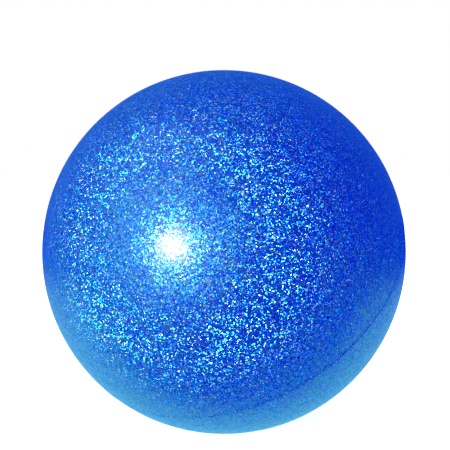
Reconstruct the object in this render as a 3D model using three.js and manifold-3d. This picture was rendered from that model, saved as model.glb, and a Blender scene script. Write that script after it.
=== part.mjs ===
// A rhythmic gymnastics ball: an air-filled rubber ball in a glitter skin, with one plugged valve.
// Millimetres, +Z up. The origin is the ball's centre, and the valve points along +Y.
import * as THREE from "three";
import { mergeVertices } from "three/addons/utils/BufferGeometryUtils.js";
import Module from "manifold-3d";

const wasm = await Module();
wasm.setup();

// Driving dimensions of the ball
const BALL_DIAMETER = 185; // the senior size
const SKIN_THICKNESS = 0.8;
const WALL_THICKNESS = 2.6; // rubber, under the skin
const LAP_LENGTH = 6; // how far the two rubber cups overlap, along the wall
const CLEARANCE = 0.3; // glue line, or air, between two pieces that meet

// The skin's two cups meet on a circle of their own, turned away from the rubber's joint.
const SKIN_TURN = 40; // degrees from +Y towards +X, the heading of the rear skin's pole
const SKIN_DROP = 52; // degrees that this pole lies below the horizontal

// Driving dimensions of the valve and its plug
const BORE_DIAMETER = 5; // takes the plug's stem, and a pump's nozzle once the plug is out
const STEM_CLEARANCE = 0.15; // between the stem's rings and the bore
const HEAD_OVERHANG = 1.6; // the plug's head past the bore, all round
const HEAD_THICKNESS = 1.4;
const HEAD_EDGE = 0.3; // bevel round the head's face
const NECK_WALL = 2.2; // rubber round the head's seat
const FLANGE_REACH = 11; // the bonding flange past the neck
const FLANGE_THICKNESS = 2.4; // at the boss
const FLANGE_EDGE = 0.8; // at the rim, which is thinned so that it flexes with the wall
const BOSS_WALL = 3; // rubber round the bore, inside the ball
const BOSS_TAPER = 0.8; // how much thinner that rubber is at the boss's end
const BOSS_LENGTH = 11; // below the flange
const RING_COUNT = 3; // sealing rings on the stem
const RING_HEIGHT = 0.3;
const RING_WIDTH = 1.6;
const TIP_LENGTH = 2; // rounded end of the stem, past the boss
const NOTCH_WIDTH = 3.2; // nail notch beside the head
const NOTCH_UNDERCUT = 0.6; // how far the notch goes below the head

// Facets
const BALL_SEGMENTS = 48; // round a full turn
const STEP_ANGLE = Math.PI / 24; // along a wall
const VALVE_SEGMENTS = 32;
const FILLET_STEPS = 5;

// A round surface made of flat facets dips by up to this much between its corners.
const facetSag = (radius) => 2 * radius * (1 - Math.cos(STEP_ANGLE / 2));

// Radii of the layers, from the outside in
const ballRadius = BALL_DIAMETER / 2;
const skinInner = ballRadius - SKIN_THICKNESS;
const wallOuter = skinInner - facetSag(skinInner) - CLEARANCE;
const wallInner = wallOuter - WALL_THICKNESS;

// Radii of the valve, from the bore out
const boreRadius = BORE_DIAMETER / 2;
const headRadius = boreRadius + HEAD_OVERHANG;
const seatRadius = headRadius + CLEARANCE;
const neckRadius = seatRadius + NECK_WALL;
const holeRadius = neckRadius + CLEARANCE;
const flangeRadius = neckRadius + FLANGE_REACH;
const bossRadius = boreRadius + BOSS_WALL;

// Levels of the valve along +Y, from the face in
const faceLevel = Math.sqrt(ballRadius ** 2 - neckRadius ** 2);
const headUnderside = faceLevel - HEAD_THICKNESS;
const seatLevel = headUnderside - CLEARANCE;
const flangeTop = wallInner - facetSag(wallInner) - CLEARANCE; // a radius about the ball's centre
const flangeRim = Math.sqrt(flangeTop ** 2 - flangeRadius ** 2);
const bossTop = flangeTop - FLANGE_THICKNESS;
const bossEnd = bossTop - BOSS_LENGTH;
const stemEnd = bossEnd - TIP_LENGTH;

const point = (x, y) => new THREE.Vector2(x, y);
const radians = THREE.MathUtils.degToRad;
const QUARTER = Math.PI / 2;

// Points on a circle about the ball's centre, by angle from the revolve's own +Y axis.
function arc(radius, from, to) {
  const steps = Math.max(1, Math.round(Math.abs(to - from) / STEP_ANGLE));
  return Array.from({ length: steps + 1 }, (_, i) => {
    const angle = from + ((to - from) * i) / steps;
    return point(Math.max(0, radius * Math.sin(angle)), radius * Math.cos(angle));
  });
}

function revolve(points, segments) {
  return new THREE.LatheGeometry(points, segments);
}

// A profile that closes on itself, for a piece with a hole on its axis.
function revolveLoop(points, segments) {
  return revolve([...points, points[0].clone()], segments);
}

function toSolid(geometry) {
  const bare = geometry.clone();
  bare.deleteAttribute("normal");
  bare.deleteAttribute("uv");
  const merged = mergeVertices(bare, 1e-4);
  const mesh = new wasm.Mesh({
    numProp: 3,
    vertProperties: merged.attributes.position.array,
    triVerts: new Uint32Array(merged.index.array),
  });
  return new wasm.Manifold(mesh);
}

function cut(geometry, tool) {
  const mesh = toSolid(geometry).subtract(toSolid(tool)).getMesh();
  const result = new THREE.BufferGeometry();
  result.setAttribute("position", new THREE.BufferAttribute(mesh.vertProperties, 3));
  result.setIndex(new THREE.BufferAttribute(mesh.triVerts, 1));
  result.computeVertexNormals();
  return result;
}

// The rubber wall: two cups whose rims step past each other, half the wall each.
const stepMiddle = (wallOuter + wallInner) / 2;
const stepOutside = stepMiddle + CLEARANCE / 2;
const stepInside = stepMiddle - CLEARANCE / 2;
const lapAngle = LAP_LENGTH / stepMiddle;
const gapAngle = CLEARANCE / stepMiddle;

function frontShell() {
  const seam = QUARTER + gapAngle / 2;
  return revolve(
    [
      ...arc(wallOuter, Math.PI, seam),
      ...arc(stepInside, seam, QUARTER - lapAngle),
      ...arc(wallInner, QUARTER - lapAngle, Math.PI),
    ],
    BALL_SEGMENTS,
  );
}

function rearShell() {
  const seam = QUARTER - gapAngle / 2;
  const tongueEnd = QUARTER - lapAngle - gapAngle;
  return revolveLoop(
    [
      ...arc(wallOuter, seam, Math.asin(holeRadius / wallOuter)),
      ...arc(wallInner, Math.asin(holeRadius / wallInner), tongueEnd),
      ...arc(stepOutside, tongueEnd, seam),
    ],
    BALL_SEGMENTS,
  );
}

// The glitter skin: two thin cups that butt edge to edge, made about their own axis.
const skinGap = CLEARANCE / ballRadius;
const skinFrame = new THREE.Group();
skinFrame.rotation.set(-radians(SKIN_DROP), 0, -radians(SKIN_TURN), "ZXY");
skinFrame.updateMatrix();

function frontSkin() {
  const rim = QUARTER + skinGap / 2;
  return revolve([...arc(ballRadius, Math.PI, rim), ...arc(skinInner, rim, Math.PI)], BALL_SEGMENTS);
}

function rearSkin() {
  const rim = QUARTER - skinGap / 2;
  const cup = revolve([...arc(skinInner, 0, rim), ...arc(ballRadius, rim, 0)], BALL_SEGMENTS);
  const valveHole = new THREE.CylinderGeometry(holeRadius, holeRadius, ballRadius, VALVE_SEGMENTS);
  valveHole.translate(0, ballRadius, 0);
  valveHole.applyMatrix4(skinFrame.matrix.clone().invert());
  return cut(cup, valveHole);
}

// The valve: a neck through the wall, a dished flange bonded inside it and a bored boss.
function valveBody() {
  const underRim = flangeRim - FLANGE_EDGE;
  const fillet = new THREE.QuadraticBezierCurve(
    point(bossRadius, bossTop - FLANGE_THICKNESS),
    point(bossRadius, bossTop),
    point(flangeRadius, underRim),
  );
  const body = revolveLoop(
    [
      point(boreRadius, bossEnd),
      point(bossRadius - BOSS_TAPER, bossEnd),
      ...fillet.getPoints(FILLET_STEPS),
      ...arc(flangeTop, Math.asin(flangeRadius / flangeTop), Math.asin(neckRadius / flangeTop)),
      point(neckRadius, faceLevel),
      point(seatRadius, faceLevel),
      point(seatRadius, seatLevel),
      point(boreRadius, seatLevel),
    ],
    VALVE_SEGMENTS,
  );
  const notchFloor = seatLevel - NOTCH_UNDERCUT;
  const notchHeight = 2 * (faceLevel - notchFloor);
  const notch = new THREE.CylinderGeometry(NOTCH_WIDTH / 2, NOTCH_WIDTH / 2, notchHeight, VALVE_SEGMENTS);
  notch.translate(0, notchFloor + notchHeight / 2, seatRadius);
  return cut(body, notch);
}

// The plug: a flat round head that sits level with the valve's face, and a stem with sealing rings.
function valvePlug() {
  const ringRadius = boreRadius - STEM_CLEARANCE;
  const stemRadius = ringRadius - RING_HEIGHT;
  const spacing = (headUnderside - bossEnd) / (RING_COUNT + 1);
  const rings = Array.from({ length: RING_COUNT }, (_, i) => {
    const middle = bossEnd + spacing * (i + 1);
    return [
      point(stemRadius, middle - RING_WIDTH / 2),
      point(ringRadius, middle - RING_WIDTH / 4),
      point(ringRadius, middle + RING_WIDTH / 4),
      point(stemRadius, middle + RING_WIDTH / 2),
    ];
  }).flat();
  const tip = new THREE.QuadraticBezierCurve(
    point(0, stemEnd),
    point(stemRadius, stemEnd),
    point(stemRadius, bossEnd),
  );
  return revolve(
    [
      ...tip.getPoints(FILLET_STEPS),
      ...rings,
      point(stemRadius, headUnderside),
      point(headRadius, headUnderside),
      point(headRadius, faceLevel - HEAD_EDGE),
      point(headRadius - HEAD_EDGE, faceLevel),
      point(0, faceLevel),
    ],
    VALVE_SEGMENTS,
  );
}

const glitter = new THREE.MeshStandardMaterial({ color: 0x2f6fd0, roughness: 0.25, metalness: 0.6 });
const wallRubber = new THREE.MeshStandardMaterial({ color: 0x27324a, roughness: 0.8, metalness: 0 });
const valveRubber = new THREE.MeshStandardMaterial({ color: 0x2a5cb4, roughness: 0.6, metalness: 0 });
const plugPlastic = new THREE.MeshStandardMaterial({ color: 0xe9edf0, roughness: 0.45, metalness: 0 });

function node(name, geometry, material) {
  const mesh = new THREE.Mesh(geometry, material);
  mesh.name = name;
  return mesh;
}

skinFrame.add(node("front_skin", frontSkin(), glitter), node("rear_skin", rearSkin(), glitter));

const ball = new THREE.Group();
ball.add(
  skinFrame,
  node("front_shell", frontShell(), wallRubber),
  node("rear_shell", rearShell(), wallRubber),
  node("valve_body", valveBody(), valveRubber),
  node("valve_plug", valvePlug(), plugPlastic),
);

export default ball;
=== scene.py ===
# %% [markdown]
# # A rhythmic gymnastics ball
# The real ball is an air-filled rubber wall in a skin of blue glitter film, with a small plugged valve.
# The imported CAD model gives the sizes, the bodies and the joint, and this lesson gives it its looks.
# Everything is in metres. The origin is the ball's centre, +Y points out along the valve and +Z is up.

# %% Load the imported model
import bpy
import bmesh
import math
from mathutils import Matrix, Vector


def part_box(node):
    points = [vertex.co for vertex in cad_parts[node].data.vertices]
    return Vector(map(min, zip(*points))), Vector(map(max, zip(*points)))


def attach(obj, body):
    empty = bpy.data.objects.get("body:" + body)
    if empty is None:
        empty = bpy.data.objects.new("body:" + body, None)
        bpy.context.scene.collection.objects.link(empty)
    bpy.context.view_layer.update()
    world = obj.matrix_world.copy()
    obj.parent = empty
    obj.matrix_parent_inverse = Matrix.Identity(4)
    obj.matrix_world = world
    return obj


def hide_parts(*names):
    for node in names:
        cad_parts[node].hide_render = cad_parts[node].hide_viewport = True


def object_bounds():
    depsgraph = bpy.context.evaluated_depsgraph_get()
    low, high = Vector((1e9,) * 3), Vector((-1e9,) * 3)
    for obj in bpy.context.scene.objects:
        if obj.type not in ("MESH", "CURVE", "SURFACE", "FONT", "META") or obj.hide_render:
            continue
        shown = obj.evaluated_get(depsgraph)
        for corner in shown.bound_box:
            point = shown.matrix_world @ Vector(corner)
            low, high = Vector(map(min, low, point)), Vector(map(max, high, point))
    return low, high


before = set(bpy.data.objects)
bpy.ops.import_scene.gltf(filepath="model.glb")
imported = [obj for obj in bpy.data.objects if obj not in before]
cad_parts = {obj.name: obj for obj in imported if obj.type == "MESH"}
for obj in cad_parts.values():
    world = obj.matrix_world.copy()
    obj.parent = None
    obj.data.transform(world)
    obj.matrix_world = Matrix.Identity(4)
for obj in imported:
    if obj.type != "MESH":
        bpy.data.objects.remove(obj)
cad_low, cad_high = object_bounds()

# %% [markdown]
# ## Sizes that the CAD gives
# A new piece has to lie where its CAD node lies. Most sizes can be read from the nodes' boxes, and the few
# that a box doesn't show, such as the bore, are written where they are first needed, as the CAD has them.
# The CAD ball is faceted, so the smooth ball is made just small enough to stay inside its box. The side
# with the valve is left out of that sum, because the valve's flat face lies a little lower.

# %% Read the sizes
MM = 0.001
CAD_RADIUS = 92.5 * MM
INSIDE_BY = 0.04 * MM
reaches = [-cad_low.x, -cad_low.y, -cad_low.z, cad_high.x, cad_high.z]
ball_radius = min(reaches) - INSIDE_BY
plug_low, plug_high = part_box("valve_plug")
valve_low, valve_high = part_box("valve_body")
face_level = valve_high.y
head_radius = plug_high.x
flange_radius = valve_high.x
boss_end = valve_low.y
stem_end = plug_low.y
print("ball radius", round(ball_radius / MM, 3), "mm, valve face at", round(face_level / MM, 3), "mm")

# %% [markdown]
# ## The camera
# The photograph was taken from close by: the skin's joint line is a great circle of the ball, and only
# from about two and a half radii does it curve as it does there. How high the camera stood can't be seen
# on a ball, so the twelve degrees are a guess. A close camera needs a wide lens to keep the ball's size in
# the picture. The shift slides the ball to its place without turning the view.

# %% Place the camera
CAMERA_DISTANCE = 2.4 * CAD_RADIUS
CAMERA_RISE = 12
OUTLINE_RADIUS_PIXELS = 182
PICTURE_PIXELS = 450
LEFT_OF_MIDDLE_PIXELS = 1
BELOW_MIDDLE_PIXELS = 27
SENSOR_WIDTH = 36
NEAREST_SEEN = 0.01


def put_in_scene(name, data):
    thing = bpy.data.objects.new(name, data)
    bpy.context.scene.collection.objects.link(thing)
    return thing


def direction(azimuth, rise):
    around = math.radians(azimuth)
    upward = math.radians(rise)
    level = math.cos(upward)
    return Vector((math.sin(around) * level, -math.cos(around) * level, math.sin(upward)))


camera_data = bpy.data.cameras.new("studio_camera")
camera_data.sensor_width = SENSOR_WIDTH
outline_angle = math.asin(ball_radius / CAMERA_DISTANCE)
camera_data.lens = OUTLINE_RADIUS_PIXELS / math.tan(outline_angle) * SENSOR_WIDTH / PICTURE_PIXELS
camera_data.shift_x = LEFT_OF_MIDDLE_PIXELS / PICTURE_PIXELS
camera_data.shift_y = BELOW_MIDDLE_PIXELS / PICTURE_PIXELS
camera_data.clip_start = NEAREST_SEEN
camera = put_in_scene("studio_camera", camera_data)
camera.location = direction(0, CAMERA_RISE) * CAMERA_DISTANCE
camera.rotation_euler = (math.pi / 2 - math.radians(CAMERA_RISE), 0, 0)
bpy.context.scene.camera = camera
bpy.context.scene.view_settings.view_transform = "Standard"
print("lens", round(camera_data.lens, 2), "mm")

# %% [markdown]
# ## Helpers for node trees
# Shader trees and geometry trees are both built here from many small sums. These helpers take either
# another node's output or a plain number for each input, so that a formula reads much as on paper.

# %% Helpers for sums
MIX_SOCKETS = {"FLOAT": (2, 3, 0), "VECTOR": (4, 5, 1), "RGBA": (6, 7, 2)}
NUMBER_RESULTS = ("DOT_PRODUCT", "LENGTH")


def feed(tree, socket, value):
    if isinstance(value, bpy.types.NodeSocket):
        tree.links.new(value, socket)
    else:
        socket.default_value = value


def maths(tree, operation, *values):
    node = tree.nodes.new("ShaderNodeMath")
    node.operation = operation
    for socket, value in zip(node.inputs, values):
        feed(tree, socket, value)
    return node.outputs[0]


def vectors(tree, operation, *values):
    node = tree.nodes.new("ShaderNodeVectorMath")
    node.operation = operation
    for socket, value in zip(node.inputs, values):
        feed(tree, socket, value)
    return node.outputs["Value" if operation in NUMBER_RESULTS else "Vector"]


def scaled(tree, vector, factor):
    node = tree.nodes.new("ShaderNodeVectorMath")
    node.operation = "SCALE"
    feed(tree, node.inputs["Vector"], vector)
    feed(tree, node.inputs["Scale"], factor)
    return node.outputs["Vector"]


def mixed(tree, kind, factor, first, second):
    node = tree.nodes.new("ShaderNodeMix")
    node.data_type = kind
    a, b, result = MIX_SOCKETS[kind]
    feed(tree, node.inputs[0], factor)
    feed(tree, node.inputs[a], first)
    feed(tree, node.inputs[b], second)
    return node.outputs[result]


print("mixes of", list(MIX_SOCKETS))

# %% Helpers for places, ranges and materials
FROM_NONE_TO_ALL = (0.0, 1.0)
FROM_ALL_TO_NONE = (1.0, 0.0)


def own_place(tree):
    return tree.nodes.new("ShaderNodeTexCoord").outputs["Object"]


def separated(tree, vector):
    node = tree.nodes.new("ShaderNodeSeparateXYZ")
    feed(tree, node.inputs[0], vector)
    return node.outputs


def combined(tree, x, y, z):
    node = tree.nodes.new("ShaderNodeCombineXYZ")
    for socket, value in zip(node.inputs, (x, y, z)):
        feed(tree, socket, value)
    return node.outputs[0]


def set_inputs(node, values):
    for label, value in values.items():
        node.inputs[label].default_value = value


def ranged(tree, value, span, results, way):
    node = tree.nodes.new("ShaderNodeMapRange")
    node.interpolation_type = way
    set_inputs(node, {"From Min": span[0], "From Max": span[1], "To Min": results[0], "To Max": results[1]})
    feed(tree, node.inputs["Value"], value)
    return node.outputs["Result"]


def ray_is_seen(tree):
    path = tree.nodes.new("ShaderNodeLightPath")
    mirror = maths(tree, "MAXIMUM", path.outputs["Is Glossy Ray"], path.outputs["Is Transmission Ray"])
    return maths(tree, "MAXIMUM", path.outputs["Is Camera Ray"], mirror)


def new_material(name):
    material = bpy.data.materials.new(name)
    material.use_nodes = True
    tree = material.node_tree
    return material, tree, tree.nodes["Principled BSDF"]


print("a range rises", FROM_NONE_TO_ALL, "or falls", FROM_ALL_TO_NONE)

# %% [markdown]
# ## Floor and surroundings
# The ball stands on a pale floor in front of white. The floor could be lit until it is white, but then
# the ball would be lit too much, so the floor adds light of its own where the eye or a mirror sees it.
# Close to the ball it adds less, so that the lamps' shadow stays seen, and this also paints a shade round
# it.
# Glitter shows its surroundings in every flake. A deep blue tent, a little paler behind the ball, gives the
# flakes their blue. A card just above the floor is pale under and behind the ball, which gives the lower
# rim its light band, and as blue as the tent in front of it. Both are there for mirror rays alone, and are
# not sampled as lamps, which would put noise into the glitter.

# %% Floor
WHITE = (1, 1, 1, 1)
FLOOR_HALF = 6.0
FLOOR_FINISH = {
    "Base Color": (0.86, 0.87, 0.88, 1),
    "Roughness": 0.9,
    "Specular IOR Level": 0.1,
    "Emission Color": WHITE,
}
PAINTED_SHADE_SPAN = (0.15, 0.70)
FLOOR_GLOW_WITH_PAINTED_SHADE = (0.60, 1.0)
floor_level = cad_low.z


def staged(name, mesh):
    thing = put_in_scene(name, mesh)
    return thing


def level_square(name, half, level):
    mesh = bpy.data.meshes.new(name)
    corners = [(-half, -half, level), (half, -half, level), (half, half, level), (-half, half, level)]
    mesh.from_pydata(corners, [], [(0, 1, 2, 3)])
    return mesh


floor_paint, tree, paint = new_material("pale_floor")
floor_paint.cycles.emission_sampling = "NONE"
set_inputs(paint, FLOOR_FINISH)
away = vectors(tree, "LENGTH", own_place(tree))
# The glow is lower close to the ball, so it paints a shade on the floor round it.
glow = ranged(tree, away, PAINTED_SHADE_SPAN, FLOOR_GLOW_WITH_PAINTED_SHADE, "LINEAR")
feed(tree, paint.inputs["Emission Strength"], maths(tree, "MULTIPLY", ray_is_seen(tree), glow))
floor = staged("floor", level_square("floor", FLOOR_HALF, floor_level))
floor.data.materials.append(floor_paint)
print("floor at", round(floor_level / MM, 2), "mm")

# %% Blue tent
TENT_RADIUS = 2.5
TENT_SEGMENTS = 48
TENT_RINGS = 24
TENT_BLUE = (0.005, 0.022, 1.10, 1)
BACK_BLUE = (0.04, 0.17, 0.95, 1)
BACK_SPAN = (0.1 * TENT_RADIUS, 0.9 * TENT_RADIUS)
CLOTH_FINISH = {"Base Color": (0, 0, 0, 1), "Specular IOR Level": 0, "Emission Strength": 1.0}


def only_mirror_rays(thing):
    thing.visible_camera = False
    thing.visible_diffuse = False
    thing.visible_transmission = False
    thing.visible_volume_scatter = False
    thing.visible_shadow = False


def glowing_cloth(thing, name):
    material, tree, cloth = new_material(name)
    material.cycles.emission_sampling = "NONE"
    set_inputs(cloth, CLOTH_FINISH)
    thing.data.materials.append(material)
    only_mirror_rays(thing)
    return tree, cloth.inputs["Emission Color"]


tent_mesh = bpy.data.meshes.new("tent")
shape = bmesh.new()
bmesh.ops.create_uvsphere(shape, u_segments=TENT_SEGMENTS, v_segments=TENT_RINGS, radius=TENT_RADIUS)
shape.to_mesh(tent_mesh)
shape.free()
tent = staged("tent", tent_mesh)
tree, tent_glow = glowing_cloth(tent, "tent_cloth")
behind = ranged(tree, separated(tree, own_place(tree))["Y"], BACK_SPAN, FROM_NONE_TO_ALL, "SMOOTHSTEP")
feed(tree, tent_glow, mixed(tree, "RGBA", behind, TENT_BLUE, BACK_BLUE))
print("tent radius", TENT_RADIUS, "m")

# %% Card above the floor
CARD_LIFT = 0.5 * MM
CARD_PALE = (0.36, 0.77, 1.30, 1)
CARD_EDGE = -0.88 * CAD_RADIUS
CARD_FADE = 0.1 * CAD_RADIUS
CARD_SPAN = (CARD_EDGE - CARD_FADE, CARD_EDGE + CARD_FADE)
CARD_REACH = (0.15, 0.60)
card = staged("floor_card", level_square("floor_card", TENT_RADIUS, floor_level + CARD_LIFT))
tree, card_glow = glowing_cloth(card, "card_cloth")
place = own_place(tree)
under = ranged(tree, separated(tree, place)["Y"], CARD_SPAN, FROM_NONE_TO_ALL, "SMOOTHSTEP")
near = ranged(tree, vectors(tree, "LENGTH", place), CARD_REACH, FROM_ALL_TO_NONE, "SMOOTHSTEP")
pale = maths(tree, "MULTIPLY", under, near)
feed(tree, card_glow, mixed(tree, "RGBA", pale, TENT_BLUE, CARD_PALE))
print("card edge at", round(CARD_EDGE / MM, 1), "mm")

# %% [markdown]
# ## Lights
# A small lamp close to the ball, to the left of the camera, makes the white spot and wakes the glitter
# round it. Because it is close, it lights a round part of the ball and not a whole half. A small lamp
# behind the ball does the same for the valve's side.
# Four wide lamps and an even white sky keep the blue from falling into shade. These lamps are hidden from
# mirror rays, because a flake would show them as bright patches that aren't there. One wide lamp at the
# upper left isn't hidden, and lightens the flakes on that side.

# %% Small lamps
CENTRE = Vector((0, 0, 0))
KEY_DISTANCE = 0.32
KEY_TOWARDS = Vector((-0.393, -0.887, 0.239)).normalized()
KEY_ANGLE = math.radians(3.0)
KEY_WATTS = 0.86
BACK_PLACE = Vector((0.04, 0.6, 0.06))
BACK_DIAMETER = 0.12
BACK_WATTS = 0.8


def disc_lamp(name, place, diameter, watts):
    data = bpy.data.lights.new(name, "AREA")
    data.shape = "DISK"
    data.size = diameter
    data.energy = watts
    lamp = put_in_scene(name, data)
    lamp.location = place
    lamp.rotation_euler = (CENTRE - place).to_track_quat("-Z", "Y").to_euler()
    return lamp


key_diameter = 2 * KEY_DISTANCE * math.tan(KEY_ANGLE)
disc_lamp("key_lamp", KEY_TOWARDS * KEY_DISTANCE, key_diameter, KEY_WATTS)
disc_lamp("back_lamp", BACK_PLACE, BACK_DIAMETER, BACK_WATTS)
print("key lamp", round(key_diameter / MM), "mm across,", KEY_WATTS, "W")

# %% Wide lamps
WIDE_DISTANCE = 0.9
HIDDEN = False
SHOWN = True
# Each lamp has its degrees round from the camera's side and up, its watts, and what mirror rays see of it.
WIDE_LAMPS = {
    "fill_right": (62, 18, 6.0, HIDDEN),
    "fill_left": (-85, 15, 2.8, HIDDEN),
    "fill_top": (0, 78, 4.8, HIDDEN),
    "fill_back": (180, 30, 3.0, HIDDEN),
    "soft_left": (-58, 48, 0.9, SHOWN),
}
for name, (azimuth, rise, watts, in_mirrors) in WIDE_LAMPS.items():
    lamp = disc_lamp(name, direction(azimuth, rise) * WIDE_DISTANCE, WIDE_DISTANCE, watts)
    lamp.visible_glossy = in_mirrors
    lamp.visible_camera = in_mirrors
print(len(WIDE_LAMPS), "wide lamps at", WIDE_DISTANCE, "m")

# %% Sky
SKY_FILL = 0.08
SKY_SEEN = 1.0
sky = bpy.data.worlds.new("studio_sky")
sky.use_nodes = True
sky.cycles.sampling_method = "NONE"
bpy.context.scene.world = sky
tree = sky.node_tree
even_light = tree.nodes["Background"]
white_light = tree.nodes.new("ShaderNodeBackground")
set_inputs(even_light, {"Color": WHITE, "Strength": SKY_FILL})
set_inputs(white_light, {"Color": WHITE, "Strength": SKY_SEEN})
sky_mix = tree.nodes.new("ShaderNodeMixShader")
feed(tree, sky_mix.inputs[0], ray_is_seen(tree))
feed(tree, sky_mix.inputs[1], even_light.outputs[0])
feed(tree, sky_mix.inputs[2], white_light.outputs[0])
feed(tree, tree.nodes["World Output"].inputs["Surface"], sky_mix.outputs[0])
print("sky fill", SKY_FILL)

# %% [markdown]
# ## Glitter flakes, as one layer
# Glitter film is full of small foil flakes, each lying at its own slight angle. Modelling a hundred
# thousand of them would be far too heavy, so the surface is split into cells the size of a flake, and
# each cell gets random numbers: whether it is a flake, how far it leans and which way.
# The group puts out the flake mask, the leaning normal, a random number for shades and one for the hue.

# %% Flake layer group
FLOAT = "NodeSocketFloat"
VECTOR = "NodeSocketVector"
MIDDLE = (0.5, 0.5, 0.5)


def new_group(name, kind, inputs, outputs):
    tree = bpy.data.node_groups.new(name, kind)
    for in_out, sockets in (("INPUT", inputs), ("OUTPUT", outputs)):
        for label, socket_type in sockets:
            tree.interface.new_socket(label, in_out=in_out, socket_type=socket_type)
    given = tree.nodes.new("NodeGroupInput").outputs
    result = tree.nodes.new("NodeGroupOutput").inputs
    return tree, given, result


flake_layer, given, result = new_group(
    "flake_layer",
    "ShaderNodeTree",
    [("Coordinates", VECTOR), ("Surface Normal", VECTOR), ("Flake Size", FLOAT), ("Share", FLOAT),
     ("Least Lean", FLOAT), ("Most Lean", FLOAT)],
    [("Mask", FLOAT), ("Facet Normal", VECTOR), ("Random", FLOAT), ("Hue", FLOAT)],
)
tree = flake_layer
per_flake = maths(tree, "DIVIDE", 1.0, given["Flake Size"])
cells = tree.nodes.new("ShaderNodeTexVoronoi")
cells.voronoi_dimensions = "3D"
cells.feature = "F1"
cells.inputs["Scale"].default_value = 1.0
feed(tree, cells.inputs["Vector"], scaled(tree, given["Coordinates"], per_flake))
dice = tree.nodes.new("ShaderNodeTexWhiteNoise")
dice.noise_dimensions = "3D"
feed(tree, dice.inputs["Vector"], cells.outputs["Position"])
choice = separated(tree, cells.outputs["Color"])
print("cells and dice in", len(tree.nodes), "nodes")

# %% How a flake leans
mask = maths(tree, "LESS_THAN", choice["X"], given["Share"])
lean = mixed(tree, "FLOAT", maths(tree, "SQRT", choice["Y"]), given["Least Lean"], given["Most Lean"])
aside = vectors(tree, "SUBTRACT", dice.outputs["Color"], MIDDLE)
upright = vectors(tree, "DOT_PRODUCT", aside, given["Surface Normal"])
aside = vectors(tree, "SUBTRACT", aside, scaled(tree, given["Surface Normal"], upright))
aside = vectors(tree, "NORMALIZE", aside)
reach = maths(tree, "MULTIPLY", maths(tree, "TANGENT", lean), mask)
leaning = vectors(tree, "ADD", given["Surface Normal"], scaled(tree, aside, reach))
feed(tree, result["Mask"], mask)
feed(tree, result["Facet Normal"], vectors(tree, "NORMALIZE", leaning))
feed(tree, result["Random"], choice["Z"])
feed(tree, result["Hue"], dice.outputs["Value"])
print("flake layer group has", len(tree.nodes), "nodes")

# %% [markdown]
# ## The glitter film
# Two layers of flakes lie in a clear blue film. Leaning flakes cover about half of the surface and make
# the wide sparkling ring round the lamp's spot. Almost flat ones fill most of the rest and make the glow
# close to it. Where neither lies, the film itself shows, a deep royal blue whose shade differs at random,
# with a few pale cells that are painted glints.
# A flake's hue could be drawn for each flake, but flakes smaller than a pixel blend to one even colour.
# Here the leaning flakes take it from the flat layer's larger cells, so specks of green, yellow and pink
# show. A clear coat on top gives the small white spot, and its strength differs from cell to cell.

# %% Colours of the film and the foil
# The film's cells differ in shade at random, and the pale top of this ramp also paints glints and
# reflections into them.
FILM_BLUES_AND_PAINTED_GLINTS = [
    (0.00, (0.000, 0.001, 0.43, 1)),
    (0.35, (0.000, 0.008, 0.63, 1)),
    (0.70, (0.001, 0.032, 0.77, 1)),
    (0.88, (0.012, 0.120, 0.88, 1)),
    (1.00, (0.150, 0.520, 1.00, 1)),
]
FLAT_TINTS = [
    (0.00, (0.004, 0.050, 0.62, 1)),
    (0.35, (0.014, 0.200, 0.42, 1)),
    (0.70, (0.045, 0.400, 0.30, 1)),
    (1.00, (0.200, 0.700, 0.30, 1)),
]
FOIL_HUES = [
    (0.00, (0.004, 0.520, 0.86, 1)),
    (0.40, (0.030, 0.740, 0.80, 1)),
    (0.66, (0.110, 0.880, 0.56, 1)),
    (0.82, (0.450, 0.910, 0.36, 1)),
    (0.93, (0.660, 0.800, 0.30, 1)),
    (1.00, (0.740, 0.400, 0.620, 1)),
]
FOIL_DEEP = (0.0, 0.18, 0.40, 1)


def ramp(tree, factor, stops):
    node = tree.nodes.new("ShaderNodeValToRGB")
    elements = node.color_ramp.elements
    while len(elements) < len(stops):
        elements.new(0.5)
    for element, (position, colour) in zip(elements, stops):
        element.position = position
        element.color = colour
    feed(tree, node.inputs["Fac"], factor)
    return node.outputs["Color"]


print(len(FILM_BLUES_AND_PAINTED_GLINTS), "film blues,", len(FLAT_TINTS), "flat tints,", len(FOIL_HUES), "foil hues")

# %% Two layers of flakes
FLAT_FLAKES = {
    "Flake_Size": 0.50 * MM,
    "Share": 0.85,
    "Least_Lean": 0.0,
    "Most_Lean": math.radians(7),
}
LEANING_FLAKES = {
    "Flake_Size": 0.36 * MM,
    "Share": 0.56,
    "Least_Lean": math.radians(27),
    "Most_Lean": math.radians(41),
}
LAYERS_APART = (0.31, 0.17, 0.23)


def placed_group(tree, group, **values):
    node = tree.nodes.new("ShaderNodeGroup")
    node.node_tree = group
    for label, value in values.items():
        feed(tree, node.inputs[label.replace("_", " ")], value)
    return node.outputs


glitter_film, tree, film = new_material("glitter_film")
place = own_place(tree)
other_place = vectors(tree, "ADD", place, LAYERS_APART)
surface = tree.nodes.new("ShaderNodeNewGeometry").outputs["Normal"]
flat = placed_group(tree, flake_layer, Coordinates=place, Surface_Normal=surface, **FLAT_FLAKES)
wide = placed_group(tree, flake_layer, Coordinates=other_place, Surface_Normal=surface, **LEANING_FLAKES)
print("flat flakes", FLAT_FLAKES["Flake_Size"] / MM, "mm, leaning", LEANING_FLAKES["Flake_Size"] / MM, "mm")

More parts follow.
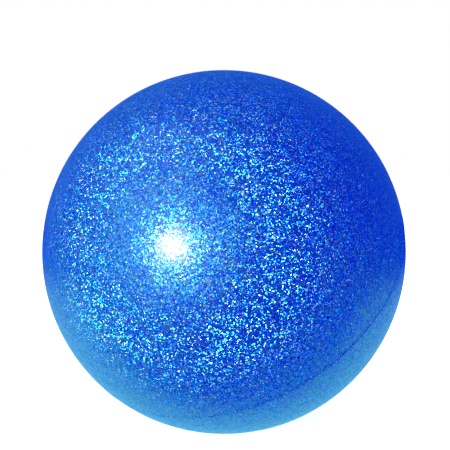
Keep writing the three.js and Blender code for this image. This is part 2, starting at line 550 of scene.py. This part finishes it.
# %% Glitter film
FOIL_SHADES = (0.50, 1.0)
FLAT_ROUGHNESS = 0.39
LEANING_ROUGHNESS = 0.47
GLOSSY_ABOVE = 0.5
COAT_WEIGHTS = (0.32, 0.86)
FILM_FINISH = {
    "IOR": 1.6,
    "Specular IOR Level": 0.15,
    "Specular Tint": (0.10, 0.85, 0.60, 1),
    "Coat Roughness": 0.27,
    "Coat IOR": 1.5,
}
film_shades_and_painted_glints = ramp(tree, flat["Random"], FILM_BLUES_AND_PAINTED_GLINTS)
flat_colour = ramp(tree, flat["Random"], FLAT_TINTS)
foil_shade = mixed(tree, "FLOAT", wide["Random"], *FOIL_SHADES)
foil_colour = mixed(tree, "RGBA", foil_shade, FOIL_DEEP, ramp(tree, flat["Hue"], FOIL_HUES))
colour = mixed(tree, "RGBA", flat["Mask"], film_shades_and_painted_glints, flat_colour)
colour = mixed(tree, "RGBA", wide["Mask"], colour, foil_colour)
facets = mixed(tree, "VECTOR", wide["Mask"], flat["Facet Normal"], wide["Facet Normal"])
glossy = maths(tree, "GREATER_THAN", flat["Random"], GLOSSY_ABOVE)
feed(tree, film.inputs["Base Color"], colour)
feed(tree, film.inputs["Metallic"], maths(tree, "MAXIMUM", flat["Mask"], wide["Mask"]))
feed(tree, film.inputs["Roughness"], mixed(tree, "FLOAT", wide["Mask"], FLAT_ROUGHNESS, LEANING_ROUGHNESS))
feed(tree, film.inputs["Normal"], facets)
feed(tree, film.inputs["Coat Weight"], mixed(tree, "FLOAT", glossy, *COAT_WEIGHTS))
set_inputs(film, FILM_FINISH)
print("glitter film has", len(tree.nodes), "nodes")

# %% [markdown]
# ## Rubber and moulded plastic
# Rubber and plastic from a mould are never quite even: the surface has a fine grain, the colour drifts
# a little, and pale dust stays in the grain. One group makes that grain, and the wall, the valve and
# the plug each use it at their own size and strength.

# %% Moulded grain group
COLOUR = "NodeSocketColor"
DRIFT_SCALE = 0.04
DRIFT_DETAIL = 3.0
DRIFT_WEIGHT = 0.55
GRAIN_DETAIL = 2.0
GRAIN_WEIGHT = 0.45


def noise(tree, coordinates, scale, detail):
    node = tree.nodes.new("ShaderNodeTexNoise")
    node.inputs["Detail"].default_value = detail
    feed(tree, node.inputs["Vector"], coordinates)
    feed(tree, node.inputs["Scale"], scale)
    return node.outputs["Fac"]


moulded_grain, given, result = new_group(
    "moulded_grain",
    "ShaderNodeTree",
    [("Coordinates", VECTOR), ("Grain Size", FLOAT), ("Deep Colour", COLOUR), ("Pale Colour", COLOUR),
     ("Least Roughness", FLOAT), ("Most Roughness", FLOAT)],
    [("Colour", COLOUR), ("Roughness", FLOAT), ("Height", FLOAT)],
)
tree = moulded_grain
per_grain = maths(tree, "DIVIDE", 1.0, given["Grain Size"])
drift = noise(tree, given["Coordinates"], maths(tree, "MULTIPLY", per_grain, DRIFT_SCALE), DRIFT_DETAIL)
grain = noise(tree, given["Coordinates"], per_grain, GRAIN_DETAIL)
dusty = maths(tree, "MULTIPLY_ADD", grain, GRAIN_WEIGHT, maths(tree, "MULTIPLY", drift, DRIFT_WEIGHT))
roughness = mixed(tree, "FLOAT", dusty, given["Least Roughness"], given["Most Roughness"])
feed(tree, result["Colour"], mixed(tree, "RGBA", dusty, given["Deep Colour"], given["Pale Colour"]))
feed(tree, result["Roughness"], roughness)
feed(tree, result["Height"], grain)
print("moulded grain group has", len(tree.nodes), "nodes")

# %% Wall rubber, valve rubber and plug plastic
BUMP_STRENGTH = 0.6


def moulded(name, bump_height, **values):
    material, tree, body = new_material(name)
    grain = placed_group(tree, moulded_grain, Coordinates=own_place(tree), **values)
    bump = tree.nodes.new("ShaderNodeBump")
    set_inputs(bump, {"Distance": bump_height, "Strength": BUMP_STRENGTH})
    feed(tree, bump.inputs["Height"], grain["Height"])
    feed(tree, body.inputs["Base Color"], grain["Colour"])
    feed(tree, body.inputs["Roughness"], grain["Roughness"])
    feed(tree, body.inputs["Normal"], bump.outputs["Normal"])
    return material


wall_rubber = moulded(
    "wall_rubber", bump_height=0.12 * MM, Grain_Size=1.6 * MM, Deep_Colour=(0.012, 0.02, 0.045, 1),
    Pale_Colour=(0.05, 0.07, 0.11, 1), Least_Roughness=0.65, Most_Roughness=0.95,
)
valve_rubber = moulded(
    "valve_rubber", bump_height=0.04 * MM, Grain_Size=0.5 * MM, Deep_Colour=(0.008, 0.055, 0.36, 1),
    Pale_Colour=(0.03, 0.12, 0.52, 1), Least_Roughness=0.42, Most_Roughness=0.68,
)
plug_plastic = moulded(
    "plug_plastic", bump_height=0.02 * MM, Grain_Size=0.35 * MM, Deep_Colour=(0.70, 0.74, 0.78, 1),
    Pale_Colour=(0.86, 0.88, 0.90, 1), Least_Roughness=0.32, Most_Roughness=0.52,
)
print("moulded materials", wall_rubber.name, valve_rubber.name, plug_plastic.name)

# %% [markdown]
# ## The skin's two cups
# The glitter film is formed as two cups that meet edge to edge on a great circle, clear of the valve.
# Each cup could be cut from a whole ball with a boolean, which leaves ragged edges. Here a flat grid is
# bent instead: one way runs round the valve's axis, the other from the joint to the far end of the cup.
# The rows lie close together at the joint, where the edge of the front cup stands up a little and the
# edge of the rear cup sinks in.

# %% Skin cup tree, where each point of the grid goes
INT = "NodeSocketInt"
GEOMETRY = "NodeSocketGeometry"
MATERIAL = "NodeSocketMaterial"
GRID_HALF = 0.5
ROW_CROWDING = 2.0
skin_cup, given, result = new_group(
    "skin_cup",
    "GeometryNodeTree",
    [("Geometry", GEOMETRY), ("Ball Radius", FLOAT), ("Joint Axis", VECTOR), ("Side", FLOAT),
     ("End Angle", FLOAT), ("Half Gap", FLOAT), ("Lip Height", FLOAT), ("Lip Width", FLOAT),
     ("Edge Drop", FLOAT), ("Drop Width", FLOAT), ("Around", INT), ("Along", INT), ("Film", MATERIAL)],
    [("Geometry", GEOMETRY)],
)
tree = skin_cup
grid = tree.nodes.new("GeometryNodeMeshGrid")
feed(tree, grid.inputs["Vertices X"], given["Around"])
feed(tree, grid.inputs["Vertices Y"], given["Along"])
spot = separated(tree, tree.nodes.new("GeometryNodeInputPosition").outputs[0])
axis = separated(tree, given["Joint Axis"])
turn = maths(tree, "MULTIPLY", maths(tree, "ADD", spot["X"], GRID_HALF), 2 * math.pi)
turn = maths(tree, "MULTIPLY", turn, given["Side"])
across = maths(tree, "COSINE", turn)
upward = maths(tree, "SINE", turn)
share = maths(tree, "POWER", maths(tree, "ADD", spot["Y"], GRID_HALF), ROW_CROWDING)
print("grid is turned in", len(tree.nodes), "nodes")

# %% Skin cup tree, from the joint to the far end
side_part = maths(tree, "MULTIPLY_ADD", across, axis["X"], maths(tree, "MULTIPLY", upward, axis["Z"]))
axis_part = maths(tree, "MULTIPLY", axis["Y"], axis["Y"])
length = maths(tree, "SQRT", maths(tree, "MULTIPLY_ADD", side_part, side_part, axis_part))
nearest = maths(tree, "ARCTAN2", side_part, axis["Y"])
edge = maths(tree, "DIVIDE", maths(tree, "MULTIPLY", given["Half Gap"], -1.0), given["Ball Radius"])
edge = maths(tree, "DIVIDE", maths(tree, "MULTIPLY", edge, given["Side"]), length)
joint_angle = maths(tree, "ADD", nearest, maths(tree, "ARCCOSINE", edge))
angle = mixed(tree, "FLOAT", share, joint_angle, given["End Angle"])
sine = maths(tree, "SINE", angle)
outward = combined(
    tree,
    maths(tree, "MULTIPLY", sine, across),
    maths(tree, "COSINE", angle),
    maths(tree, "MULTIPLY", sine, upward),
)
print("grid is bent in", len(tree.nodes), "nodes")

# %% Skin cup tree, the raised lip and the sunk edge
off_joint = maths(tree, "ARCSINE", vectors(tree, "DOT_PRODUCT", outward, given["Joint Axis"]))
off_joint = maths(tree, "MULTIPLY", maths(tree, "ABSOLUTE", off_joint), given["Ball Radius"])
from_edge = maths(tree, "MAXIMUM", maths(tree, "SUBTRACT", off_joint, given["Half Gap"]), 0.0)
lip = maths(tree, "POWER", maths(tree, "DIVIDE", from_edge, given["Lip Width"]), 2.0)
lip = maths(tree, "EXPONENT", maths(tree, "MULTIPLY", lip, -1.0))
drop = maths(tree, "DIVIDE", from_edge, given["Drop Width"])
drop = maths(tree, "EXPONENT", maths(tree, "MULTIPLY", drop, -1.0))
height = maths(tree, "MULTIPLY_ADD", lip, given["Lip Height"], given["Ball Radius"])
height = maths(tree, "SUBTRACT", height, maths(tree, "MULTIPLY", drop, given["Edge Drop"]))
print("edges are shaped in", len(tree.nodes), "nodes")

# %% Skin cup tree, the mesh and its film
SEAM_WELD = 0.002 * MM


def smoothed(tree, mesh):
    node = tree.nodes.new("GeometryNodeSetShadeSmooth")
    feed(tree, node.inputs["Geometry"], mesh)
    return node.outputs["Geometry"]


def dressed(tree, geometry, material):
    real = tree.nodes.new("GeometryNodeRealizeInstances")
    feed(tree, real.inputs["Geometry"], geometry)
    coloured = tree.nodes.new("GeometryNodeSetMaterial")
    feed(tree, coloured.inputs["Geometry"], real.outputs["Geometry"])
    feed(tree, coloured.inputs["Material"], material)
    return coloured.outputs["Geometry"]


bent = tree.nodes.new("GeometryNodeSetPosition")
feed(tree, bent.inputs["Geometry"], grid.outputs["Mesh"])
feed(tree, bent.inputs["Position"], scaled(tree, outward, height))
closed = tree.nodes.new("GeometryNodeMergeByDistance")
closed.inputs["Distance"].default_value = SEAM_WELD
feed(tree, closed.inputs["Geometry"], bent.outputs["Geometry"])
feed(tree, result["Geometry"], dressed(tree, smoothed(tree, closed.outputs["Geometry"]), given["Film"]))
print("skin cup tree has", len(tree.nodes), "nodes")

# %% From a tree to a plain mesh
def empty_piece(name):
    return put_in_scene(name, bpy.data.meshes.new(name))


def grown(name, group, **values):
    piece = empty_piece(name)
    modifier = piece.modifiers.new(group.name, "NODES")
    modifier.node_group = group
    for socket in group.interface.items_tree:
        label = socket.name.replace(" ", "_")
        if socket.in_out == "INPUT" and label in values:
            modifier[socket.identifier] = values[label]
    return piece


def made_plain(piece):
    bpy.context.view_layer.update()
    evaluated = piece.evaluated_get(bpy.context.evaluated_depsgraph_get())
    plain = bpy.data.meshes.new_from_object(evaluated)
    piece.modifiers.clear()
    piece.data = plain
    plain.name = piece.name
    return piece


print("skin cup tree has", len(skin_cup.interface.items_tree), "named sockets")

# %% Make the cups
SKIN_TURN = math.radians(40)
SKIN_DROP = math.radians(52)
FILM_THICKNESS = 0.7 * MM
HOLE_RADIUS = 6.9 * MM
HALF_GAP = 0.13 * MM
LIP_WIDTH = 1.0 * MM
POINTS_AROUND = 257
POINTS_ALONG = 113
level = math.cos(SKIN_DROP)
joint_axis = Vector((math.sin(SKIN_TURN) * level, math.cos(SKIN_TURN) * level, -math.sin(SKIN_DROP)))
hole_angle = math.asin(HOLE_RADIUS / ball_radius)


def skin_piece(name, **values):
    piece = grown(
        name, skin_cup, Ball_Radius=ball_radius, Joint_Axis=joint_axis, Half_Gap=HALF_GAP,
        Lip_Width=LIP_WIDTH, Around=POINTS_AROUND, Along=POINTS_ALONG, Film=glitter_film, **values,
    )
    wall = piece.modifiers.new("film_thickness", "SOLIDIFY")
    wall.thickness = FILM_THICKNESS
    wall.offset = -1
    return made_plain(piece)


front_cup = skin_piece(
    "front_cup", Side=1.0, End_Angle=math.pi, Lip_Height=0.12 * MM, Edge_Drop=0.30 * MM, Drop_Width=0.12 * MM
)
rear_cup = skin_piece(
    "rear_cup", Side=-1.0, End_Angle=hole_angle, Lip_Height=0.0, Edge_Drop=0.20 * MM, Drop_Width=0.35 * MM
)
print("cup faces", len(front_cup.data.polygons), len(rear_cup.data.polygons))

# %% [markdown]
# ## The valve
# The valve is one soft rubber moulding: a round face level with the ball's surface, a seat sunk into it
# for the plug's head, a bore, and inside the ball a flange that is glued to the wall. All of it is round
# about +Y, so a half section is drawn once, its corners are rounded, and it is turned about the axis.
# Only the nail notch beside the seat isn't round, and a boolean cuts it.

# %% Round the corners of a half section
CORNER_STEPS = 5
CORNER_SHARE = 0.45


def rounded(section):
    points = []
    count = len(section)
    for index, (radius, level, fillet) in enumerate(section):
        corner = Vector((radius, level))
        if fillet == 0:
            points.append(corner)
            continue
        before = Vector(section[index - 1][:2]) - corner
        after = Vector(section[(index + 1) % count][:2]) - corner
        reach = min(fillet, before.length * CORNER_SHARE, after.length * CORNER_SHARE)
        start = corner + before.normalized() * reach
        end = corner + after.normalized() * reach
        for step in range(CORNER_STEPS + 1):
            t = step / CORNER_STEPS
            points.append(start * (1 - t) ** 2 + corner * 2 * t * (1 - t) + end * t ** 2)
    return points


print("a corner is rounded in", CORNER_STEPS, "steps")

# %% Turn a half section about the valve's axis
POINT_WELD = 0.001 * MM
SLIVER = 0.0005 * MM
SHARP_FROM = math.radians(40)


def turned(name, section, material, segments):
    shape = bmesh.new()
    rings = []
    for radius, level in rounded(section):
        ring = []
        for step in range(segments):
            angle = 2 * math.pi * step / segments
            ring.append(shape.verts.new((radius * math.cos(angle), level, radius * math.sin(angle))))
        rings.append(ring)
    for index, ring in enumerate(rings):
        following = rings[(index + 1) % len(rings)]
        for step in range(segments):
            beside = (step + 1) % segments
            shape.faces.new((ring[step], following[step], following[beside], ring[beside]))
    bmesh.ops.remove_doubles(shape, verts=shape.verts, dist=POINT_WELD)
    bmesh.ops.dissolve_degenerate(shape, edges=shape.edges, dist=SLIVER)
    bmesh.ops.recalc_face_normals(shape, faces=shape.faces)
    piece = empty_piece(name)
    shape.to_mesh(piece.data)
    shape.free()
    piece.data.materials.append(material)
    return piece


def softened(piece):
    piece.data.shade_smooth()
    piece.data.set_sharp_from_angle(angle=SHARP_FROM)
    print(piece.name, "faces", len(piece.data.polygons))


print("edges stay sharp from", round(math.degrees(SHARP_FROM)), "degrees")

# %% Half section of the valve
BORE_RADIUS = 2.5 * MM
SEAT_RADIUS = 4.4 * MM
NECK_RADIUS = 6.6 * MM
HEAD_THICKNESS = 1.4 * MM
SEAT_GAP = 0.3 * MM
BOSS_RADIUS = 5.5 * MM
BOSS_TAPER = 0.8 * MM
ROOT_WIDTH = 1.2 * MM
ROOT_HEIGHT = 0.9 * MM
DISH_RADIUS = 87.729 * MM
DISH_STEPS = 8
FLANGE_THICKNESS = 2.4 * MM
FLANGE_EDGE = 0.8 * MM
GROOVE_OUTER = 5.75 * MM
GROOVE_MIDDLE = 5.55 * MM
GROOVE_INNER = 5.35 * MM
GROOVE_DEPTH = 0.18 * MM
seat_level = face_level - HEAD_THICKNESS - SEAT_GAP
boss_top = DISH_RADIUS - FLANGE_THICKNESS


def dished(radius):
    return math.sqrt(DISH_RADIUS ** 2 - radius ** 2)


dish_width = NECK_RADIUS - flange_radius
dish_radii = [flange_radius + dish_width * step / DISH_STEPS for step in range(1, DISH_STEPS)]
# Each corner has its distance from the axis, its level along the axis and its rounding.
valve_section = [
    (BORE_RADIUS, boss_end, 0.3 * MM),
    (BOSS_RADIUS - BOSS_TAPER, boss_end, 0.8 * MM),
    (BOSS_RADIUS, boss_top - FLANGE_THICKNESS, 0.5 * MM),
    (BOSS_RADIUS + ROOT_WIDTH, boss_top - ROOT_HEIGHT, 2.0 * MM),
    (flange_radius, dished(flange_radius) - FLANGE_EDGE, 0.25 * MM),
    (flange_radius, dished(flange_radius), 0.25 * MM),
    *[(radius, dished(radius), 0) for radius in dish_radii],
    (NECK_RADIUS, dished(NECK_RADIUS), 0.3 * MM),
    (NECK_RADIUS, face_level, 0.35 * MM),
    (GROOVE_OUTER, face_level, 0.1 * MM),
    (GROOVE_MIDDLE, face_level - GROOVE_DEPTH, 0.1 * MM),
    (GROOVE_INNER, face_level, 0.1 * MM),
    (SEAT_RADIUS, face_level, 0.25 * MM),
    (SEAT_RADIUS, seat_level, 0.2 * MM),
    (BORE_RADIUS, seat_level, 0.25 * MM),
]
print("valve section has", len(valve_section), "corners, the seat is at", round(seat_level / MM, 3), "mm")

# %% Valve body and nail notch
TURN_SEGMENTS = 96
NOTCH_SEGMENTS = 48
NOTCH_RADIUS = 1.6 * MM
NOTCH_MOUTH = 1.85 * MM
NOTCH_SINK = 0.6 * MM
FLARE_BELOW = 0.15 * MM
FLARE_ABOVE = 0.1 * MM
CUTTER_ABOVE = 1.0 * MM
notch_floor = seat_level - NOTCH_SINK
notch_section = [
    (0, notch_floor, 0),
    (NOTCH_RADIUS, notch_floor, 0.4 * MM),
    (NOTCH_RADIUS, face_level - FLARE_BELOW, 0),
    (NOTCH_MOUTH, face_level + FLARE_ABOVE, 0),
    (NOTCH_MOUTH, face_level + CUTTER_ABOVE, 0),
    (0, face_level + CUTTER_ABOVE, 0),
]
valve = turned("valve", valve_section, valve_rubber, TURN_SEGMENTS)
notch = turned("notch_cutter", notch_section, valve_rubber, NOTCH_SEGMENTS)
notch.data.transform(Matrix.Translation((0, 0, SEAT_RADIUS)))
cut = valve.modifiers.new("nail_notch", "BOOLEAN")
cut.operation = "DIFFERENCE"
cut.solver = "EXACT"
cut.object = notch
made_plain(valve)
bpy.data.objects.remove(notch)
softened(valve)

# %% [markdown]
# ## The plug
# The plug is a hard plastic stopper. Its flat head lies in the valve's seat, level with the face, and a
# nail in the notch lifts it. The stem is turned from a half section like the valve. The sealing rings
# repeat along the stem, so Geometry Nodes put one rounded ring on each point of a line.

# %% Plug head and stem
STEM_RADIUS = 2.05 * MM
TIP_RADIUS = 0.9 * MM
TIP_LENGTH = 1.7 * MM
DIMPLE_MOUTH = 1.15 * MM
DIMPLE_FLOOR = 0.85 * MM
DIMPLE_DEPTH = 0.22 * MM
head_underside = face_level - HEAD_THICKNESS
plug_section = [
    (0, stem_end, 0),
    (TIP_RADIUS, stem_end, 0.6 * MM),
    (STEM_RADIUS, stem_end + TIP_LENGTH, 1.2 * MM),
    (STEM_RADIUS, head_underside, 0.3 * MM),
    (head_radius, head_underside, 0.25 * MM),
    (head_radius, face_level, 0.45 * MM),
    (DIMPLE_MOUTH, face_level, 0.15 * MM),
    (DIMPLE_FLOOR, face_level - DIMPLE_DEPTH, 0.15 * MM),
    (0, face_level - DIMPLE_DEPTH, 0),
]
plug = turned("plug", plug_section, plug_plastic, TURN_SEGMENTS)
softened(plug)

# %% Sealing ring tree
sealing_rings, given, result = new_group(
    "sealing_rings",
    "GeometryNodeTree",
    [("Geometry", GEOMETRY), ("Count", INT), ("First Level", FLOAT), ("Spacing", FLOAT),
     ("Ring Radius", FLOAT), ("Bead Radius", FLOAT), ("Ring Points", INT), ("Bead Points", INT),
     ("Plastic", MATERIAL)],
    [("Geometry", GEOMETRY)],
)
tree = sealing_rings


def circle(tree, points, radius):
    node = tree.nodes.new("GeometryNodeCurvePrimitiveCircle")
    feed(tree, node.inputs["Resolution"], points)
    feed(tree, node.inputs["Radius"], radius)
    return node.outputs["Curve"]


line = tree.nodes.new("GeometryNodeMeshLine")
feed(tree, line.inputs["Count"], given["Count"])
feed(tree, line.inputs["Start Location"], combined(tree, 0.0, given["First Level"], 0.0))
feed(tree, line.inputs["Offset"], combined(tree, 0.0, given["Spacing"], 0.0))
loop_radius = maths(tree, "SUBTRACT", given["Ring Radius"], given["Bead Radius"])
ring = tree.nodes.new("GeometryNodeCurveToMesh")
feed(tree, ring.inputs["Curve"], circle(tree, given["Ring Points"], loop_radius))
feed(tree, ring.inputs["Profile Curve"], circle(tree, given["Bead Points"], given["Bead Radius"]))
laid = tree.nodes.new("GeometryNodeInstanceOnPoints")
feed(tree, laid.inputs["Points"], line.outputs["Mesh"])
feed(tree, laid.inputs["Instance"], smoothed(tree, ring.outputs["Mesh"]))
laid.inputs["Rotation"].default_value = (math.pi / 2, 0, 0)
feed(tree, result["Geometry"], dressed(tree, laid.outputs["Instances"], given["Plastic"]))
print("sealing ring tree has", len(tree.nodes), "nodes")

# %% Sealing rings
RING_COUNT = 3
RING_RADIUS = 2.35 * MM
BEAD_RADIUS = 0.7 * MM
RING_POINTS = 64
BEAD_POINTS = 16
ring_spacing = (head_underside - boss_end) / (RING_COUNT + 1)
plug_rings = grown(
    "plug_rings", sealing_rings, Count=RING_COUNT, First_Level=boss_end + ring_spacing, Spacing=ring_spacing,
    Ring_Radius=RING_RADIUS, Bead_Radius=BEAD_RADIUS, Ring_Points=RING_POINTS, Bead_Points=BEAD_POINTS,
    Plastic=plug_plastic,
)
made_plain(plug_rings)
print("ring faces", len(plug_rings.data.polygons))

# %% [markdown]
# ## The rubber wall
# The two rubber cups lie under the film and are never seen on a whole ball. Their CAD shape is right,
# so the CAD nodes stay, and only their material changes.

# %% Dress the wall
for shell in ("front_shell", "rear_shell"):
    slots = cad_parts[shell].data.materials
    slots.clear()
    slots.append(wall_rubber)
print("wall rubber on both shells")

# %% [markdown]
# ## Join the pieces to the frame
# Each new piece rides on the body that carries it. All but the rings stand for the CAD node under them,
# which is hidden: the rings belong to the plug, and slide out with it.

# %% Ride on the bodies
for piece, body, slot in (
    (front_cup, "ball", "glitter_skin"),
    (rear_cup, "ball", "glitter_skin"),
    (valve, "ball", "valve_rubber"),
    (plug, "plug", "plug_plastic"),
    (plug_rings, "plug", "plug_plastic"),
):
    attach(piece, body)
    print(piece.name, "rides on", body)
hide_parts("front_skin")
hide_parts("rear_skin")
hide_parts("valve_body")
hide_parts("valve_plug")
